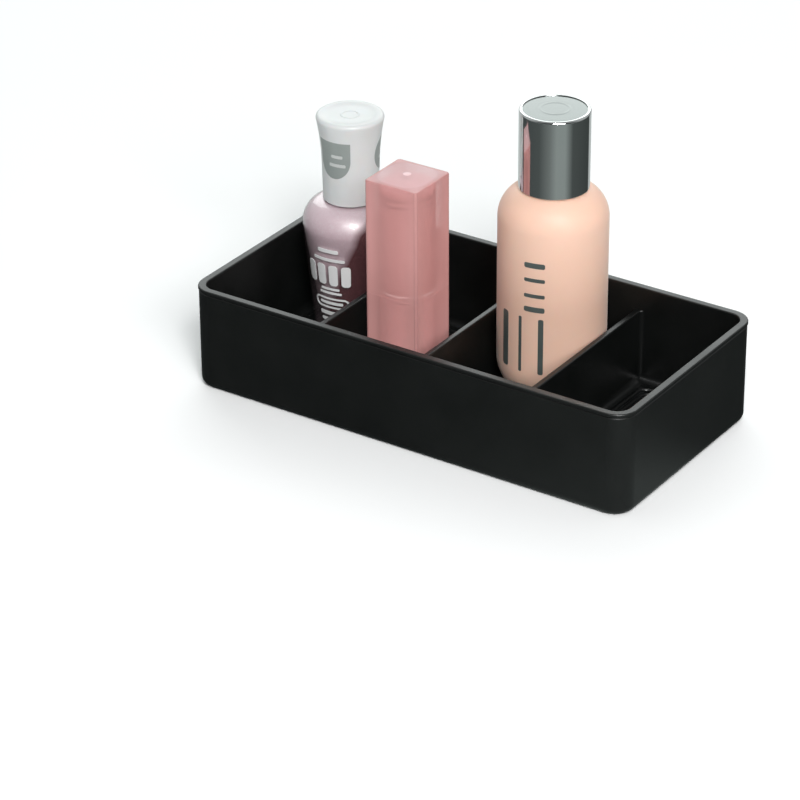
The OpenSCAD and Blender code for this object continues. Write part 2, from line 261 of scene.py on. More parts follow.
def balm_shell():
    """Translucent pink plastic: clearest where the wall is thin, densest in the thick corners. Its
    colour carries painted light: paler at the foot and deeper at the top, darker along the vertical
    corners as painted shade, and a paler, greyer top face as a painted reflection.
    """
    thin_wall, thick_wall, fillet, corner = 0.0106, 0.0135, 0.0142, 0.0145
    painted_light_low, painted_light_high = 0.01, 0.084
    look = Look("balm_shell_pink", Specular_IOR_Level=0.25)
    radius = look.radius(BALM)
    look.drive("Alpha", look.between(radius, thin_wall, thick_wall, 0.64, 0.92))
    uneven = look.between(look.noise(45, 3), 0.3, 0.7, -0.06, 0.06)
    # Painted light: the colour runs from pale at the foot to deeper at the top, evening out the light
    # that falls off towards the bottom.
    share = look.node("Math", {0: look.height(painted_light_low, painted_light_high), 1: uneven}).outputs[0]
    wall = look.ramp(share, (0.0, (0.70, 0.355, 0.335)), (1.0, (0.51, 0.25, 0.24)))
    # Painted shade: darker along the vertical corners, to tone down the line of light they catch.
    wall = look.mix(look.between(radius, fillet, corner), wall, (0.48, 0.24, 0.23))
    # Painted reflection: the top face is painted paler and greyer, for the sheen it catches from above.
    crown = BALM_CAP_TOP * MM
    look.drive("Base Color", look.mix(look.height(crown - 0.0001, crown + 0.0002), wall,
                                      (0.63, 0.435, 0.445)))
    look.drive("Roughness", look.between(look.noise(240, 4), 0.3, 0.7, 0.38, 0.48))
    look.relief(look.noise(1800, 2), 0.06, 0.02)
    return look.material


def balm_inside():
    """Opaque pink moulding inside the balm stick."""
    look = Look("balm_mechanism_pink", Subsurface_Weight=0.1, Subsurface_Scale=0.003)
    tone = look.noise(70, 4)
    look.drive("Base Color", look.ramp(tone, (0.3, (0.60, 0.30, 0.29)), (0.7, (0.65, 0.34, 0.33))))
    look.drive("Roughness", look.between(look.noise(300, 4), 0.3, 0.7, 0.36, 0.48))
    look.relief(look.noise(1500, 2), 0.15, 0.03)
    return look.material


def balm_sleeve():
    """Opaque pink liner of the balm's cap, with a deeper pink wall. Its pale lip is a painted highlight,
    and the dark bands in its two grooves are painted shade.
    """
    # Painted highlight: the pale lip, a lighter line where the lip catches light.
    lip, wall = (0.95, 0.76, 0.74), (0.44, 0.18, 0.17)
    # Painted shade: the dark bands in the two grooves stand for their shadow.
    groove, top = (0.16, 0.04, 0.04), (0.56, 0.25, 0.25)
    reach = 0.040
    look = Look("balm_sleeve_pink")
    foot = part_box("balm_cap_sleeve")[0].z
    tone = look.ramp(look.height(foot, foot + reach), (0.0, lip), (0.018, lip), (0.026, wall),
                     (0.84, wall), (0.85, groove), (0.868, groove), (0.878, wall), (0.905, wall),
                     (0.915, groove), (0.933, groove), (0.943, wall), (1.0, top))
    look.drive("Base Color", look.mix(look.between(look.noise(60, 3), 0.3, 0.7, 0, 0.15), tone,
                                      (0.70, 0.38, 0.37)))
    look.drive("Roughness", look.between(look.noise(300, 4), 0.3, 0.7, 0.36, 0.48))
    return look.material


def bottle_glass():
    """Thick clear glass with a trace of pink and a few smudges."""
    look = Look("polish_glass", Alpha=0.26, Specular_IOR_Level=1.0, Coat_Weight=1.0,
                Coat_Roughness=0.03)
    look.drive("Base Color", look.ramp(look.noise(30, 2), (0.3, (0.15, 0.115, 0.125)),
                                       (0.7, (0.19, 0.150, 0.160))))
    look.drive("Roughness", look.between(look.noise(180, 5), 0.45, 0.8, 0.04, 0.10))
    return look.material


def lacquer():
    """Pink shimmer lacquer, darker towards the bottom, with painted shade on the side towards the balm.
    """
    # Heights over which the colour goes from dark at the bottom to shimmer.
    darkening_low, darkening_high = 0.009, 0.045
    # Painted shade: the side towards the balm is painted dark for the balm's shadow and the dark tray
    # seen through the glass. This edge sets where it starts and how it slants.
    painted_shade_start = Vector((POLISH.x + 7.9, POLISH.y, POLISH.z + 34.5)) * MM
    painted_shade_slope = (-1.28, 0, 0.53)
    look = Look("polish_lacquer", IOR=2.6, Coat_Weight=1.0, Coat_Roughness=0.04)
    flakes = look.cells(2600)
    hue = look.ramp(look.noise(28, 4), (0.3, (0.82, 0.60, 0.67)), (0.7, (0.89, 0.66, 0.73)))
    shimmer = look.mix(look.between(flakes, 0.5, 0.95, 0, 0.6), hue, (0.96, 0.86, 0.90))
    # Dark colour of the bottom and of the painted shade.
    dark_colour = look.mix(look.between(flakes, 0.5, 0.95, 0, 0.5), (0.070, 0.008, 0.010),
                       (0.17, 0.045, 0.052))
    swirl = look.between(look.noise(85, 2), 0.3, 0.7, -0.0015, 0.0015)
    edge = look.node("Math", {0: look.dot(look.offset(painted_shade_start), painted_shade_slope), 1: swirl}).outputs[0]
    outside_painted_shade = look.between(edge, -0.0015, 0.0019)
    share = look.node("Math", {0: look.height(darkening_low, darkening_high), 1: outside_painted_shade},
                      operation="MULTIPLY").outputs[0]
    look.drive("Base Color", look.mix(share, dark_colour, shimmer))
    # The painted shade also has a duller gloss.
    look.drive("Specular IOR Level", look.between(outside_painted_shade, 0, 1, 0.05, 0.8))
    look.drive("Roughness", look.between(look.noise(900, 3), 0.3, 0.7, 0.42, 0.55))
    look.relief(flakes, 0.12, 0.02)
    return look.material


def plain(name, dark, light, rough=(0.35, 0.5), grain=1500, **sockets):
    """A moulded or cast stuff with mottled tone and a fine grain."""
    look = Look(name, **sockets)
    look.drive("Base Color", look.ramp(look.noise(60, 4), (0.3, dark), (0.7, light)))
    look.drive("Roughness", look.between(look.noise(260, 4), 0.3, 0.7, *rough))
    look.relief(look.noise(grain, 3), 0.15, 0.03)
    return look.material


MATERIALS = {
    "tray_plastic": tray_plastic(),
    "foundation_soft_touch": soft_touch(),
    "foundation_chrome": chrome(),
    "foundation_disc_silver": disc_silver(),
    "polish_cap_white": white_cap(),
    "balm_shell_pink": balm_shell(),
    "balm_shell_inner": plain("balm_shell_inner", (0.61, 0.30, 0.29), (0.65, 0.33, 0.32), (0.34, 0.44),
                              Alpha=0.08),
    "balm_sleeve_pink": balm_sleeve(),
    # The gate mark is painted pale like the balm's painted top, a touch lighter: a painted highlight.
    "balm_gate": plain("balm_gate", (0.65, 0.43, 0.44), (0.70, 0.48, 0.49), (0.2, 0.3)),
    "balm_mechanism_pink": balm_inside(),
    "polish_glass": bottle_glass(),
    "polish_lacquer": lacquer(),
    "polish_inner_white": plain("polish_inner_white", (0.66, 0.66, 0.64), (0.74, 0.74, 0.72)),
    "mixing_ball_steel": plain("mixing_ball_steel", (0.50, 0.50, 0.52), (0.62, 0.62, 0.64),
                               (0.10, 0.2), Metallic=1.0),
    "liner_foam": plain("liner_foam", (0.74, 0.72, 0.66), (0.84, 0.82, 0.77), (0.7, 0.85), 900),
    "brush_bristle": plain("brush_bristle", (0.018, 0.014, 0.018), (0.04, 0.03, 0.036), (0.3, 0.45)),
    "balm_cup_metal": plain("balm_cup_metal", (0.60, 0.58, 0.57), (0.70, 0.68, 0.67), (0.22, 0.32),
                            Metallic=1.0),
    "balm_wax": plain("balm_wax", (0.50, 0.16, 0.18), (0.58, 0.21, 0.23), (0.28, 0.42), 700,
                      Subsurface_Weight=0.3, Subsurface_Scale=0.004),
    "foundation_fluid": plain("foundation_fluid", (0.64, 0.38, 0.26), (0.70, 0.43, 0.30), (0.2, 0.3)),
    "print_grey": plain("print_grey", (0.085, 0.105, 0.10), (0.125, 0.15, 0.14), (0.3, 0.42),
                        Metallic=0.3),
    "print_cap_grey": plain("print_cap_grey", (0.25, 0.285, 0.275), (0.30, 0.335, 0.32), (0.35, 0.45)),
    "print_cap_light": plain("print_cap_light", (0.48, 0.51, 0.50), (0.55, 0.58, 0.57), (0.35, 0.45)),
    "print_white": plain("print_white", (0.86, 0.87, 0.87), (0.93, 0.94, 0.94), (0.3, 0.4)),
}


# ---------------------------------------------------------------- mesh tools

def rounded(*corners, steps=6):
    """Points along an outline whose corners (r, z, fillet radius) are rounded off."""
    made = []
    count = len(corners)
    for index, (r, z, radius) in enumerate(corners):
        here = Vector((r, z))
        if radius <= 0 or index in (0, count - 1):
            made.append(here)
            continue
        to_last = (Vector(corners[index - 1][:2]) - here).normalized()
        to_next = (Vector(corners[index + 1][:2]) - here).normalized()
        half = to_last.angle(to_next) / 2
        centre = here + (to_last + to_next).normalized() * radius / math.sin(half)
        start = here + to_last * radius / math.tan(half) - centre
        end = here + to_next * radius / math.tan(half) - centre
        sweep = start.angle_signed(end)
        for step in range(steps + 1):
            turn = -sweep * step / steps
            made.append(centre + Vector((start.x * math.cos(turn) - start.y * math.sin(turn),
                                         start.x * math.sin(turn) + start.y * math.cos(turn))))
    return [(p.x, p.y) for p in made]


def arc(cx, cz, rx, rz, start, end, steps=20):
    """Points along an elliptical arc, with angles in degrees."""
    turns = [math.radians(start + (end - start) * k / steps) for k in range(steps + 1)]
    return [(cx + rx * math.cos(a), cz + rz * math.sin(a)) for a in turns]


def piece(name, verts, faces, body, material, stands_for=(), sharp=40):
    """Makes a mesh in millimetres into a piece that rides on a body."""
    mesh = bpy.data.meshes.new(name)
    mesh.from_pydata([(x * MM, y * MM, z * MM) for x, y, z in verts], [], faces)
    tidy = bmesh.new()
    tidy.from_mesh(mesh)
    bmesh.ops.remove_doubles(tidy, verts=tidy.verts, dist=1e-7)
    bmesh.ops.recalc_face_normals(tidy, faces=tidy.faces)
    tidy.to_mesh(mesh)
    tidy.free()
    made = bpy.data.objects.new(name, mesh)
    scene.collection.objects.link(made)
    if material:
        dress(made, body, material, stands_for, sharp)
    return made


def dress(made, body, material, stands_for=(), sharp=40):
    """Shades a finished mesh, gives it its material and seats it on its body."""
    made.data.shade_smooth()
    made.data.set_sharp_from_angle(angle=math.radians(sharp))
    made.data.materials.clear()
    made.data.materials.append(MATERIALS[material])
    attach(made, body)
    if stands_for:
        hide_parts(*stands_for)


def stack(loops, cap_first=False, cap_last=False):
    """Vertices and faces of a skin over loops that have the same number of points."""
    count = len(loops[0])
    verts = [point for loop in loops for point in loop]
    faces = []
    for row in range(len(loops) - 1):
        for k in range(count):
            after = (k + 1) % count
            faces.append((row * count + k, row * count + after,
                          (row + 1) * count + after, (row + 1) * count + k))
    if cap_first:
        faces.append(tuple(range(count - 1, -1, -1)))
    if cap_last:
        base = (len(loops) - 1) * count
        faces.append(tuple(base + k for k in range(count)))
    return verts, faces


def merge(*skins):
    """Joins several (verts, faces) pairs into one."""
    verts, faces = [], []
    for more_verts, more_faces in skins:
        base = len(verts)
        verts += more_verts
        faces += [tuple(base + k for k in face) for face in more_faces]
    return verts, faces


def turned(outline, place, segments=120, ring=False):
    """A solid of revolution about a container's axis. A ring's outline closes on itself."""
    verts, faces, rows = [], [], []
    for r, z in outline:
        if r < 1e-6:
            rows.append([len(verts)] * segments)
            verts.append((place.x, place.y, place.z + z))
            continue
        rows.append(list(range(len(verts), len(verts) + segments)))
        for k in range(segments):
            a = 2 * math.pi * k / segments
            verts.append((place.x + r * math.cos(a), place.y + r * math.sin(a), place.z + z))
    if ring:
        rows.append(rows[0])
    for low, high in zip(rows, rows[1:]):
        for k in range(segments):
            after = (k + 1) % segments
            corner = [low[k], low[after], high[after], high[k]]
            faces.append(tuple(dict.fromkeys(corner)))
    return verts, [face for face in faces if len(face) > 2]


def thread(place, radius, out, low_z, pitch, turns, width=1.1, per_turn=60):
    """A helical ridge on a neck, tapering to nothing at both ends."""
    total = int(per_turn * turns)
    loops = []
    for step in range(total + 1):
        share = step / total
        rise = min(1, share * 8, (1 - share) * 8)
        a = 2 * math.pi * turns * share
        z = low_z + pitch * turns * share
        crest = radius + max(0.02, out * rise)
        section = ((radius - 0.3, -width), (crest, -width * 0.3), (crest, width * 0.3),
                   (radius - 0.3, width))
        loops.append([(place.x + r * math.cos(a), place.y + r * math.sin(a), place.z + z + dz)
                      for r, dz in section])
    return stack(loops, cap_first=True, cap_last=True)


def rounded_rect(cx, cy, z, width, depth, radius, steps=8):
    """A level rounded rectangle, anticlockwise."""
    loop = []
    for sx, sy, start in ((1, 1, 0), (-1, 1, 90), (-1, -1, 180), (1, -1, 270)):
        for k in range(steps + 1):
            a = math.radians(start + 90 * k / steps)
            loop.append((cx + sx * (width / 2 - radius) + radius * math.cos(a),
                         cy + sy * (depth / 2 - radius) + radius * math.sin(a), z))
    return loop


def cut(target, tool, operation):
    """Applies a boolean to the target's mesh and removes the tool."""
    modifier = target.modifiers.new(operation, "BOOLEAN")
    modifier.operation = operation
    modifier.solver = "EXACT"
    modifier.object = tool
    apply_modifiers(target)
    bpy.data.objects.remove(tool)


def apply_modifiers(made):
    bpy.context.view_layer.update()
    flat = bpy.data.meshes.new_from_object(made.evaluated_get(bpy.context.evaluated_depsgraph_get()))
    made.modifiers.clear()
    made.data = flat


def even_normals(made):
    """Large flat faces keep their own normal, and the fillets between them carry the turn."""
    modifier = made.modifiers.new("even_normals", "WEIGHTED_NORMAL")
    modifier.keep_sharp = True
    apply_modifiers(made)


# How far a printed patch stands out from the skin, and how far it reaches in.
PROUD = 0.04
SUNK = 0.15


def panel(width, height, corner, shrink=0.0, per_edge=12):
    """A flat rounded rectangle about the origin, with points all along its edges."""
    per_corner = 5 + round(1.5 * corner)
    w, h = width / 2 - shrink, height / 2 - shrink
    corner = max(min(corner - shrink, w, h), 0.02)
    loop = []
    for (sx, sy), start in zip(((1, 1), (-1, 1), (-1, -1), (1, -1)), (0, 90, 180, 270)):
        centre = Vector((sx * (w - corner), sy * (h - corner)))
        for k in range(per_corner + 1):
            a = math.radians(start + 90 * k / per_corner)
            loop.append(centre + Vector((math.cos(a), math.sin(a))) * corner)
    return fill_edges(loop, per_corner + 1, per_edge)


def fill_edges(loop, run, per_edge):
    """Adds points on the straight stretches that follow each run of points."""
    dense = []
    for k, point in enumerate(loop):
        dense.append(point)
        if (k + 1) % run == 0:
            after = loop[(k + 1) % len(loop)]
            dense += [point.lerp(after, n / per_edge) for n in range(1, per_edge)]
    return dense


def shield(width, height, per_edge=14):
    """A flat outline with a straight top and sides and a half-elliptic bottom."""
    w, h = width / 2, height / 2
    bowl = [Vector((-w * math.cos(a), -h * math.sin(a))) for a in
            (math.pi * k / 24 for k in range(25))]
    loop = bowl + [Vector((w, h)), Vector((-w, h))]
    dense = bowl[:]
    for start, end in ((bowl[-1], loop[-2]), (loop[-2], loop[-1]), (loop[-1], bowl[0])):
        dense += [start.lerp(end, n / per_edge) for n in range(1, per_edge + 1)]
    return dense[:-1]


def wrapped(loop, place, radius_at, turn, z, out):
    """A flat outline laid round a bottle, out from its skin, at a turn from the camera's side."""
    about = radius_at(z)
    made = []
    for x, y in loop:
        a = TO_CAMERA + math.radians(turn) + x / about
        r = radius_at(z + y) + out
        made.append((place.x + r * math.cos(a), place.y + r * math.sin(a), place.z + z + y))
    return made


def mark(place, radius_at, turn, z, outline, hole=None):
    """A printed patch as a thin solid, or a printed ring when it has a hole."""
    if hole:
        loops = [wrapped(loop, place, radius_at, turn, z, out)
                 for loop, out in ((outline, -SUNK), (outline, PROUD), (hole, PROUD), (hole, -SUNK))]
        return stack(loops + loops[:1])
    scales = [0.02] + [0.1 * k for k in range(1, 11)]
    under = [wrapped([p * k for p in outline], place, radius_at, turn, z, -SUNK) for k in scales]
    over = [wrapped([p * k for p in outline], place, radius_at, turn, z, PROUD) for k in scales]
    return stack(under + over[::-1], cap_first=True, cap_last=True)


def bar(place, radius_at, turn, z, width, height):
    """A plain printed bar with rounded corners."""
    return mark(place, radius_at, turn, z, panel(width, height, min(width, height) / 3))


# ---------------------------------------------------------------- tray

WALL = 3.0
FLOOR = 2.5
CORNER = 8.0
FOOT_ROUND = 3.5
FLOOR_FILLET = 3.2
RIM_ROUND = 0.55
RIM_STEP = 0.25
RIM_BAND = 1.2
DIVIDER = 2.3
DIVIDER_TOP = 30.2
CELLS = 4
GROOVE_INSETS = (4.6, 7.2)
tray_low, tray_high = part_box("tray")
TRAY_WIDTH = (tray_high.x - tray_low.x) / MM
TRAY_DEPTH = (tray_high.y - tray_low.y) / MM
CELL_PITCH = (TRAY_WIDTH - 2 * WALL + DIVIDER) / CELLS
INNER_DEPTH = TRAY_DEPTH - 2 * WALL


def tray_shell():
    """Outer wall, rim, inner wall and floor, as one stack of rounded rectangles."""
    top = TRAY.h
    band = top - RIM_BAND
    seam_in, seam_low, seam_high = 0.65, 0.7, 0.3
    outline = rounded((FOOT_ROUND, 0, 0), (RIM_STEP, 0, FOOT_ROUND - RIM_STEP),
                      (RIM_STEP, band - seam_low, 0.08), (seam_in, band - seam_high, 0.05),
                      (seam_in, band, 0.05), (0, band, 0.12),
                      (0, top, RIM_ROUND), (WALL, top, RIM_ROUND),
                      (WALL, FLOOR, FLOOR_FILLET), (WALL + FLOOR_FILLET, FLOOR, 0), steps=7)
    loops = [rounded_rect(0, 0, z, TRAY_WIDTH - 2 * inset, TRAY_DEPTH - 2 * inset,
                          max(CORNER - inset, 0.8)) for inset, z in outline]
    return stack(loops, cap_first=True, cap_last=True)


def divider(x):
    """One divider with a filleted foot, flared ends and a rounded top edge."""
    flare, root, top_round = 1.6, 0.8, 0.6
    reach = INNER_DEPTH / 2
    side = rounded((FLOOR_FILLET, FLOOR - root, 0), (FLOOR_FILLET, FLOOR, 0),
                   (0, FLOOR, FLOOR_FILLET * 0.9), (0, DIVIDER_TOP, top_round),
                   (-DIVIDER / 2 + 0.05, DIVIDER_TOP, 0), steps=6)
    loops = []
    for grow, z in side:
        half = DIVIDER / 2 + grow
        quarter = [(half + flare, reach + root), (half + flare, reach)]
        quarter += [(half + flare - flare * math.sin(a), reach - flare + flare * math.cos(a))
                    for a in (math.radians(15 * k) for k in range(1, 7))]
        right = quarter + [(px, -py) for px, py in reversed(quarter)]
        outline = right + [(-px, -py) for px, py in right]
        loops.append([(x + px, py, z) for px, py in reversed(outline)])
    return stack(loops, cap_first=True, cap_last=True)


def groove(x, inset):
    """Cutter for one groove in a compartment's floor: a rounded rectangle with sloping sides."""
    width = CELL_PITCH - DIVIDER - 2 * inset
    depth = INNER_DEPTH - 2 * inset
    section = ((-0.75, 0.3), (-0.75, 0.0), (-0.35, -0.35), (-0.25, -0.6), (0.25, -0.6),
               (0.35, -0.35), (0.75, 0.0), (0.75, 0.3))
    loops = [rounded_rect(x, 0, FLOOR + z, width - 2 * side, depth - 2 * side, 3 - side)
             for side, z in section]
    return stack(loops + loops[:1])


def make_tray():
    verts, faces = tray_shell()
    tray = piece("tray_moulding", verts, faces, "tray", None)
    for index in range(1, CELLS):
        wall = piece("divider_tool", *divider((index - CELLS / 2) * CELL_PITCH), "tray", None)
        cut(tray, wall, "UNION")
    for index in range(CELLS):
        x = (index - (CELLS - 1) / 2) * CELL_PITCH
        for inset in GROOVE_INSETS:
            cut(tray, piece("groove_tool", *groove(x, inset), "tray", None), "DIFFERENCE")
    dress(tray, "tray", "tray_plastic", ["tray"], sharp=38)
    even_normals(tray)


make_tray()


# ---------------------------------------------------------------- foundation

def foundation_bottle():
    """Bottle with rounded foot and shoulder, threaded neck and open mouth."""
    foot_r, foot_h, wall_h, shoulder_h, shell = 8, 14.5, 67.5, 11.7, 1.6
    neck_r, bore_r = 8.0, 6.0
    bulge = FOUNDATION.r - foot_r
    mouth = FOUNDATION.h
    outline = [(0, 0.5), (5.5, 0.5), (6.6, 0.3), (7.2, 0.05)]
    outline += arc(foot_r, foot_h, bulge, foot_h, -88, 0, 28)
    outline += arc(foot_r, wall_h, bulge, shoulder_h, 0, 88, 28)
    outline += rounded((neck_r + 0.5, wall_h + shoulder_h, 0), (neck_r, wall_h + shoulder_h, 0.4),
                       (neck_r, mouth, 0.4), (bore_r, mouth, 0.3), (bore_r, mouth - 4, 0))
    outline += arc(bore_r, wall_h, bulge + foot_r - bore_r - shell, shoulder_h - shell, 90, 0)
    outline += arc(foot_r, foot_h, bulge - shell, foot_h - shell, 0, -90)
    outline += [(0, shell)]
    skin = turned(outline, FOUNDATION, 144)
    ridge = thread(FOUNDATION, neck_r, 0.9, wall_h + shoulder_h + 3.6, 3.2, 2.0)
    piece("foundation_bottle_shell", *merge(skin, ridge), "foundation_bottle",
          "foundation_soft_touch", ["foundation_bottle"])


def foundation_cap():
    """Plated cap shell with a bevelled crown, and the satin disc set into it."""
    shell = span("foundation_cap_shell")
    disc = span("foundation_cap_disc")
    wall, lip, seat = 0.6, 0.9, 1.4
    outline = rounded((shell.r - wall, 0.2, 0), (shell.r - wall, 0, 0.15), (shell.r, 0, 0.25),
                      (shell.r, shell.h, lip), (disc.r + 0.1, shell.h, 0.1),
                      (disc.r + 0.1, shell.h - disc.h, 0),
                      (disc.r - 1.2, shell.h - disc.h, 0), (disc.r - 1.2, shell.h - seat, 0),
                      (shell.r - wall, shell.h - seat, 0))
    made = piece("foundation_cap_plated_shell", *turned(outline, shell, 144, ring=True),
                 "foundation_cap", "foundation_chrome", ["foundation_cap_shell"])
    even_normals(made)
    dome, ring_r, ring_w, ring_h = 0.25, 5.0, 0.45, 0.1
    crown = []
    for k in range(61):
        a = math.radians(90 * k / 60)
        r = disc.r * math.sin(a)
        raised = ring_h * max(0, 1 - ((r - ring_r) / ring_w) ** 2)
        crown.append((r, disc.h - dome - ring_h + dome * math.cos(a) + raised))
    outline = [(0, 0), (disc.r - 0.1, 0), (disc.r, 0.1), (disc.r, disc.h - dome - ring_h - 0.05)]
    piece("foundation_cap_satin_disc", *turned(outline + crown[-2::-1], disc, 144),
          "foundation_cap", "foundation_disc_silver", ["foundation_cap_disc"])


def foundation_print():
    """Plain bars where the bottle carries its printing."""
    def skin(z):
        return FOUNDATION.r
    low, high = 15.0, 36.5
    middle, tall = (low + high) / 2, high - low
    bars = [bar(FOUNDATION, skin, turn, middle, width, tall)
            for turn, width in ((-14, 1.9), (-37, 1.2), (-58, 3.0))]
    bars += [bar(FOUNDATION, skin, -21.5, z, 7.6, height)
             for z, height in ((40.0, 2.0), (45.2, 1.4), (51.2, 1.4), (56.8, 2.0))]
    piece("foundation_print_bars", *merge(*bars), "foundation_bottle", "print_grey")


foundation_bottle()
foundation_cap()
foundation_print()


# ---------------------------------------------------------------- nail polish

POLISH_FOOT = 13.5
POLISH_BELLY = 41.5
POLISH_SHOULDER = 9.3
POLISH_SHOULDER_IN = 9.5
POLISH_NECK = POLISH_BELLY + POLISH_SHOULDER
POLISH_BASE = 5.5


def polish_skin(z, inset=0.0):
    """Radius of the bottle's tapered body at a height."""
    return POLISH_FOOT + (POLISH.r - POLISH_FOOT) * min(z / POLISH_BELLY, 1) ** 0.9 - inset


def polish_side(inset, low, steps=14):
    return [(polish_skin(z, inset), z) for z in
            (low + (POLISH_BELLY - 2 - low) * k / steps for k in range(steps + 1))]


def polish_bottle():
    """Thick glass bottle: a tapered body, a rounded shoulder and a threaded neck."""
    wall, neck_r, bore_r, foot = 2.2, 6.6, 4.6, 1.8
    outline = [(0, 1.2), (7.5, 1.0), (9.8, 0.5), (10.8, 0.1)]
    outline += arc(polish_skin(foot, foot), foot, foot, foot, -85, -8, 10)
    outline += polish_side(0, foot + 0.4)
    outline += arc(POLISH_SHOULDER_IN, POLISH_BELLY, POLISH.r - POLISH_SHOULDER_IN,
                   POLISH_SHOULDER, 0, 86, 26)
    outline += rounded((neck_r + 1.5, POLISH_NECK, 0), (neck_r, POLISH_NECK + 0.1, 0.6),
                       (neck_r, POLISH.h, 0.7), (bore_r, POLISH.h, 0.5), (bore_r, POLISH.h - 6, 0))
    outline += arc(bore_r, POLISH_BELLY, POLISH.r - wall - bore_r, POLISH_SHOULDER - wall, 90, 0, 20)
    outline += polish_side(wall, POLISH_BASE + 3)[::-1]
    outline += arc(polish_skin(POLISH_BASE + 3, wall + 3), POLISH_BASE + 3, 3, 3, -10, -90, 8)
    outline += [(0, POLISH_BASE)]
    skin = turned(outline, POLISH, 144)
    ridge = thread(POLISH, neck_r, 0.65, POLISH_NECK + 2.4, 2.8, 1.7)
    glass = piece("polish_bottle_glass", *merge(skin, ridge), "polish_bottle", "polish_glass",
                  ["polish_bottle"], sharp=50)
    glass.visible_shadow = False    # so that the lacquer inside is lit


def polish_lacquer():
    """Lacquer with the shaft that the brush dips into. The thick glass magnifies it, most at the top."""
    wall, under, bore_r, fill, dip_r, dip_z = 2.2, 0.3, 4.6, 52.0, 3.2, 8.5
    lift = 1.6
    low = POLISH_BASE + lift + 3.5
    outline = [(0, POLISH_BASE + lift)]
    outline += arc(polish_skin(low, wall + 3.5), low, 3.5, 3.5, -90, -10, 8)
    outline += [(r - under - (wall - under) * (1 - (z - low) / (POLISH_BELLY - low)), z)
                for r, z in polish_side(0, low)]
    outline += arc(POLISH_SHOULDER_IN, POLISH_BELLY, POLISH.r - POLISH_SHOULDER_IN - under,
                   POLISH_SHOULDER - under, 0, 86, 26)
    outline += [(bore_r + 0.9, POLISH_NECK - under), (bore_r, POLISH_NECK + 0.2), (bore_r, fill),
                (dip_r + 0.3, fill), (dip_r, fill - 0.3), (dip_r, dip_z + 0.5),
                (dip_r - 0.5, dip_z), (0, dip_z)]
    piece("polish_lacquer_fill", *turned(outline, POLISH, 144), "polish_bottle", "polish_lacquer",
          ["polish_lacquer"])


def polish_print():
    """Plain white bars and a pill outline where the bottle carries its printing."""
    bars = [bar(POLISH, polish_skin, turn, 26.4, 3.5, 8.4) for turn in (-58, -41, -24, -7)]
    bars += [bar(POLISH, polish_skin, -30, z, width, height) for z, width, height in
             ((32.8, 13, 1.2), (36.4, 8.5, 1.5), (20.6, 7.5, 0.9), (18.9, 9, 0.9), (14.6, 9.5, 1.1),
              (10.2, 10, 1.5), (7.6, 9, 1.2))]
    pill, stroke = (14.5, 4.4), 0.7
    bars.append(mark(POLISH, polish_skin, -30, 14.6, panel(*pill, pill[1] / 2),
                     panel(*pill, pill[1] / 2, stroke)))
    piece("polish_print_bars", *merge(*bars), "polish_bottle", "print_white")


def flare(z):
    """Radius of the outer cap at a height above its lower edge."""
    return 10.1 + 0.02 * z + 0.0052 * max(0, z - 14) ** 2


def polish_cap():
    """Flared white overcap with a softly rounded, dished top."""
    cap = span("polish_outer_cap")
    bore_r, edge, ceiling, top_round = flare(0) - 1.3, 0.25, 2.5, 1.3
    straight = cap.h - top_round
    outline = [(0, cap.h - ceiling), (bore_r, cap.h - ceiling), (bore_r, 0.3), (bore_r + 0.2, 0),
               (flare(0) - edge, 0)]
    outline += [(flare(z), z) for z in (edge + (straight - edge) * k / 24 for k in range(25))]
    outline += arc(flare(straight) - top_round, straight, top_round, top_round, 12, 90, 10)
    dish_r = flare(straight) - 3
    outline += [(dish_r + 0.6, cap.h - 0.02), (dish_r, cap.h - 0.18), (dish_r - 0.9, cap.h - 0.42),
                (dish_r - 2.2, cap.h - 0.5), (3.6, cap.h - 0.5), (3.4, cap.h - 0.3),
                (2.9, cap.h - 0.3), (2.7, cap.h - 0.5), (0, cap.h - 0.5)]
    piece("polish_cap_overcap", *turned(outline, cap, 144), "polish_cap", "polish_cap_white",
          ["polish_outer_cap"])


def polish_cap_print():
    """Grey patches printed on the overcap, with plain bars in place of words."""
    cap = span("polish_outer_cap")
    patches = [mark(cap, flare, -35, 18.0, shield(13, 14.5)),
               mark(cap, flare, 90, 18.5, panel(13, 13.5, 6.5))]
    piece("polish_cap_print_patches", *merge(*patches), "polish_cap", "print_cap_grey")

    def over_patch(z):
        return flare(z) + PROUD
    bars = [bar(cap, over_patch, turn, z, width, 1.2)
            for turn, z, width in ((-27, 19.6, 4.5), (-27, 16.2, 6.5), (90, 20, 5), (90, 16.8, 6))]
    piece("polish_cap_print_bars", *merge(*bars), "polish_cap", "print_cap_light")


def brush_tuft():
    """Separate bristles, bundled at the stem and tapering together at the tip."""
    dice = random.Random(7)
    tuft = span("polish_brush")
    spread, thick, count, sides = 1.55, 0.085, 150, 5
    skins = []
    for index in range(count):
        out = math.sqrt((index + 0.5) / count)
        a = index * math.pi * (3 - math.sqrt(5))
        tip = 0.6 * out ** 2 * tuft.h * 0.16 + dice.uniform(0, 0.5)
        loops = []
        for step in range(7):
            share = step / 6
            z = tip + (tuft.h - tip) * share
            swell = 1.0 + 0.42 * math.sin(math.pi * min(share * 1.15, 1)) - 0.25 * (1 - share) ** 3
            r = out * spread * swell
            x, y = tuft.x + r * math.cos(a), tuft.y + r * math.sin(a)
            w = thick * (0.6 + 0.4 * share)
            loops.append([(x + w * math.cos(b), y + w * math.sin(b), tuft.z + z)
                          for b in (2 * math.pi * k / sides for k in range(sides))])
        skins.append(stack(loops, cap_first=True, cap_last=True))
    piece("polish_brush_bristles", *merge(*skins), "polish_cap", "brush_bristle", ["polish_brush"])


polish_bottle()
polish_lacquer()
polish_print()
polish_cap()
polish_cap_print()
brush_tuft()


# ---------------------------------------------------------------- lip balm

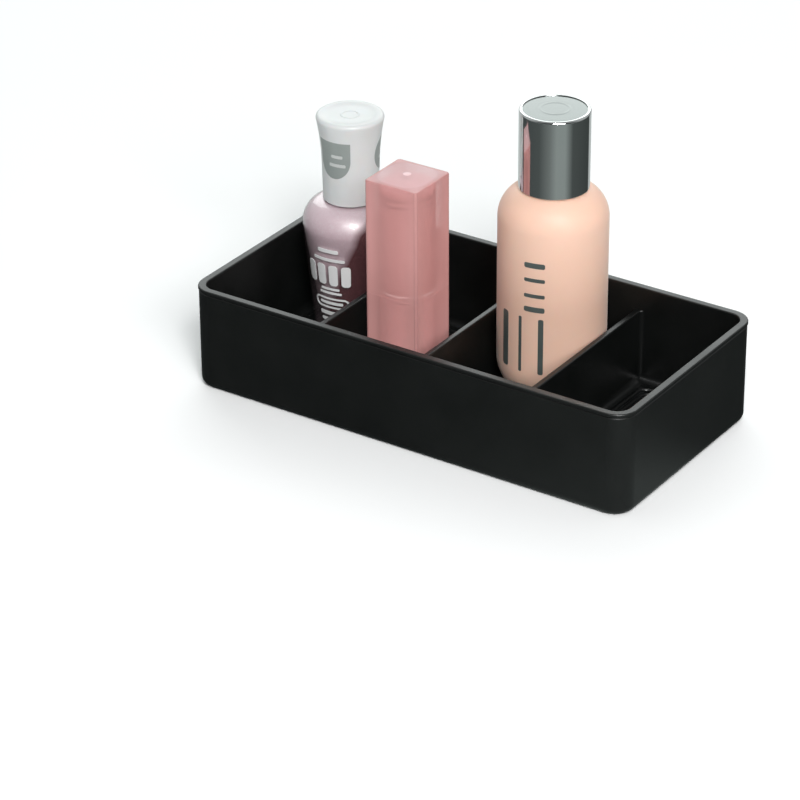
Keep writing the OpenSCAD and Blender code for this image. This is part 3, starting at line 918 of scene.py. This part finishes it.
def square_loop(place, z, half, corner, count=96):
    """A level rounded square, with its points at even turns about the axis."""
    loop = []
    straight = half - corner
    for k in range(count):
        a = 2 * math.pi * (k + 0.5) / count
        dx, dy = math.cos(a), math.sin(a)
        reach = half / max(abs(dx), abs(dy))
        px, py = dx * reach, dy * reach
        if abs(px) > straight and abs(py) > straight:
            cx, cy = math.copysign(straight, px), math.copysign(straight, py)
            along = dx * cx + dy * cy
            reach = along + math.sqrt(along ** 2 - cx ** 2 - cy ** 2 + corner ** 2)
            px, py = dx * reach, dy * reach
        loop.append((place.x + px, place.y + py, place.z + z))
    return loop


def round_loop(place, z, radius, count=96):
    turns = [2 * math.pi * (k + 0.5) / count for k in range(count)]
    return [(place.x + radius * math.cos(a), place.y + radius * math.sin(a), place.z + z) for a in turns]


BALM_CORNER = 0.6


def balm_moulding(name, loops, inner_rows, body, node):
    """A balm shell, whose bore and seam faces are clear so that what lies inside shows."""
    count = len(loops[0])
    made = piece(name, *stack(loops, cap_first=True, cap_last=True), body, "balm_shell_pink", [node])
    made.data.materials.append(MATERIALS["balm_shell_inner"])
    for face in made.data.polygons:
        if face.index // count in inner_rows:
            face.material_index = 1
    even_normals(made)
    made.visible_shadow = False    # so that the mechanism inside is lit


def balm_base():
    """Square base with a round bore and a recess for its plug."""
    base = span("balm_base_shell")
    bore, floor_t, edge = 9.9, 3.0, 0.35
    plug_r, plug_t = 8.5, 1.6
    loops = [round_loop(base, plug_t, 0.5), round_loop(base, plug_t, plug_r),
             round_loop(base, 0, plug_r)]
    side = rounded((edge, 0, 0), (0, 0, edge), (0, base.h, 0.02), (0.4, base.h, 0), steps=5)
    loops += [square_loop(base, z, base.r - inset, max(BALM_CORNER - inset, 0.15))
              for inset, z in side]
    outer = len(loops) - 2
    loops += [round_loop(base, base.h, bore), round_loop(base, base.h - 0.2, bore),
              round_loop(base, floor_t, bore), round_loop(base, floor_t, 0.5)]
    balm_moulding("balm_base_moulding", loops, range(outer, len(loops)), "balm_base",
                  "balm_base_shell")


def balm_cap():
    """Square cap with straight top edges, a softly domed top and a round bore."""
    cap = span("balm_cap_shell")
    bore, dome, edge, thick, skirt = 9.9, 0.8, 0.4, 2.5, 0.18
    loops = [round_loop(cap, cap.h - thick, 0.5), round_loop(cap, cap.h - thick, bore),
             round_loop(cap, 0.2, bore), round_loop(cap, -skirt, bore)]
    side = rounded((0.4, -skirt, 0), (0, -skirt, 0.02), (0, cap.h, edge), (edge, cap.h, 0), steps=6)
    loops += [square_loop(cap, z, cap.r - inset, max(BALM_CORNER - inset, 0.15))
              for inset, z in side]
    crown, flat = 14, cap.r - edge
    for k in range(1, crown + 1):
        half = flat * (1 - k / crown) + 0.3 * k / crown
        level = []
        for x, y, z in square_loop(cap, cap.h, half, 0.15):
            u, v = (x - cap.x) / flat, (y - cap.y) / flat
            level.append((x, y, z + dome * (1 - u * u) * (1 - v * v)))
        loops.append(level)
    balm_moulding("balm_cap_moulding", loops, range(4), "balm_cap", "balm_cap_shell")
    gate = cap._replace(z=cap.z + cap.h + dome)
    outline = [(0, -0.3), (1.6, -0.3), (1.6, -0.06), (1.3, 0.02), (0.8, 0.06), (0, 0.02)]
    piece("balm_cap_gate_mark", *turned(outline, gate, 40), "balm_cap", "balm_gate")


def balm_cap_sleeve():
    """Liner of the cap, closed at the top, with a rolled lip."""
    sleeve = span("balm_cap_sleeve")
    bore, top_t, round_r = 9.4, 1.0, 1.3
    corners = [(0, sleeve.h - top_t, 0), (bore, sleeve.h - top_t, 0.6), (bore, 0, 0.12),
               (sleeve.r, 0, 0.12)]
    for low in (34.0, 36.6):
        corners += [(sleeve.r, low, 0), (sleeve.r - 0.25, low + 0.15, 0),
                    (sleeve.r - 0.25, low + 0.6, 0), (sleeve.r, low + 0.75, 0)]
    outline = rounded(*corners, (sleeve.r, sleeve.h, round_r), (0, sleeve.h, 0))
    piece("balm_cap_liner", *turned(outline, sleeve, 120), "balm_cap", "balm_sleeve_pink",
          ["balm_cap_sleeve"])


balm_base()
balm_cap()
balm_cap_sleeve()

# ---------------------------------------------------------------- CAD nodes that stay

KEPT = {entry["node"]: entry["material_slot"] for entry in frame["record"]["subparts"]}
BEVELLED = {"balm_collar": 0.25, "balm_guide_tube": 0.12, "balm_cup": 0.15,
            "foundation_nozzle": 0.15, "foundation_liner": 0.12, "foundation_inner_cap": 0.2,
            "polish_inner_cap": 0.2, "polish_liner": 0.12}
for node_name, slot_name in KEPT.items():
    kept = frame["nodes"][node_name]
    if node_name in BEVELLED:
        soften = kept.modifiers.new("soften", "BEVEL")
        soften.width = BEVELLED[node_name] * MM
        soften.segments = 3
        soften.limit_method = "ANGLE"
        soften.angle_limit = math.radians(50)
    kept.data.materials.clear()
    kept.data.materials.append(MATERIALS[slot_name])
    kept.data.shade_smooth()
    kept.data.set_sharp_from_angle(angle=math.radians(30))


# ---------------------------------------------------------------- studio

def stage(name, verts, faces, material):
    """Makes a mesh in metres into a piece of the studio."""
    mesh = bpy.data.meshes.new(name)
    mesh.from_pydata(verts, [], faces)
    made = bpy.data.objects.new(name, mesh)
    scene.collection.objects.link(made)
    made.data.materials.append(material)
    return made


def floor():
    """Plain pale floor."""
    look = Look("floor", Roughness=0.8, Specular_IOR_Level=0.2)
    look.drive("Base Color", look.ramp(look.noise(3, 2), (0.3, (0.93, 0.935, 0.935)),
                                       (0.7, (0.95, 0.955, 0.955))))
    side = 8
    stage("floor", [(-side, -side, 0), (side, -side, 0), (side, side, 0), (-side, side, 0)],
          [(0, 1, 2, 3)], look.material)


def softbox(name, turn, tilt, distance, width, height, power, colour=(1, 1, 1)):
    """A soft area light aimed at the object. Turn 0 is the camera's side, tilt is above the floor."""
    data = bpy.data.lights.new(name, "AREA")
    data.shape = "RECTANGLE"
    data.size = width
    data.size_y = height
    data.energy = power
    data.color = colour
    light = bpy.data.objects.new(name, data)
    scene.collection.objects.link(light)
    a = TO_CAMERA + math.radians(turn)
    t = math.radians(tilt)
    way = Vector((math.cos(a) * math.cos(t), math.sin(a) * math.cos(t), math.sin(t)))
    aim = Vector((0, 0, 0.04))
    light.location = aim + way * distance
    light.rotation_euler = way.to_track_quat("Z", "Y").to_euler()


def world():
    """Pale surroundings behind the object, and dim ones on the camera's side."""
    pale, dim, strength = (0.9, 0.93, 0.93), (0.12, 0.13, 0.13), 0.5
    scene.world = bpy.data.worlds.new("studio")
    scene.world.use_nodes = True
    nodes, links = scene.world.node_tree.nodes, scene.world.node_tree.links
    way = nodes.new("ShaderNodeTexCoord").outputs["Generated"]
    facing = nodes.new("ShaderNodeVectorMath")
    facing.operation = "DOT_PRODUCT"
    facing.inputs[1].default_value = LEVEL_VIEW
    links.new(way, facing.inputs[0])
    ramp = nodes.new("ShaderNodeValToRGB")
    links.new(facing.outputs["Value"], ramp.inputs["Fac"])
    for point, (place, colour) in zip(ramp.color_ramp.elements, ((0.0, pale), (0.6, dim))):
        point.position = place
        point.color = (*colour, 1)
    back = nodes["Background"]
    links.new(ramp.outputs["Color"], back.inputs["Color"])
    back.inputs["Strength"].default_value = strength


def reflection_card():
    """Card on the floor that only glossy reflections see. Its bands keep black and chrome deep."""
    look = Look("reflection_card", Specular_IOR_Level=0.0, Emission_Strength=1.0)
    look.shader.inputs["Base Color"].default_value = (0, 0, 0, 1)
    hub = Vector((FOUNDATION.x, FOUNDATION.y, 0.3)) * MM
    side = Vector((-LEVEL_VIEW.y, LEVEL_VIEW.x, 0))
    way = look.offset(hub)
    along = look.dot(way, LEVEL_VIEW)
    across = look.dot(way, side)
    turn = look.node("Math", {0: across, 1: along}, operation="ARCTAN2").outputs[0]
    share = look.between(turn, -math.pi, math.pi)
    look.drive("Emission Color", look.ramp(share, (0.155, (0.56, 0.59, 0.585)),
                                           (0.165, (0.060, 0.068, 0.068)),
                                           (0.36, (0.080, 0.092, 0.090)),
                                           (0.45, (0.170, 0.190, 0.185)),
                                           (0.51, (0.275, 0.310, 0.300)),
                                           (0.585, (0.275, 0.310, 0.300)),
                                           (0.655, (0.075, 0.085, 0.083)),
                                           (0.868, (0.050, 0.058, 0.056)),
                                           (0.878, (0.52, 0.55, 0.545))))
    left, right, reach, rows = -180, 180, 1.6, 36
    turns = [TO_CAMERA + math.radians(left + (right - left) * k / rows) for k in range(rows + 1)]
    edge = [hub + Vector((math.cos(a), math.sin(a), 0)) * reach for a in turns]
    faces = [(0, k, k + 1) for k in range(1, rows + 1)]
    card = stage("reflection_card", [hub] + edge, faces, look.material)
    card.visible_camera = False
    card.visible_diffuse = False
    card.visible_transmission = False
    card.visible_shadow = False


floor()
reflection_card()
world()
softbox("back_softbox", turn=180, tilt=29, distance=1.3, width=1.5, height=0.85, power=8.5,
        colour=(0.95, 1.0, 0.99))
softbox("key", turn=4, tilt=42, distance=1.5, width=0.4, height=0.3, power=14)
softbox("front_fill", turn=17, tilt=31, distance=1.8, width=0.8, height=0.5, power=15.5)
scene.view_settings.view_transform = "Standard"
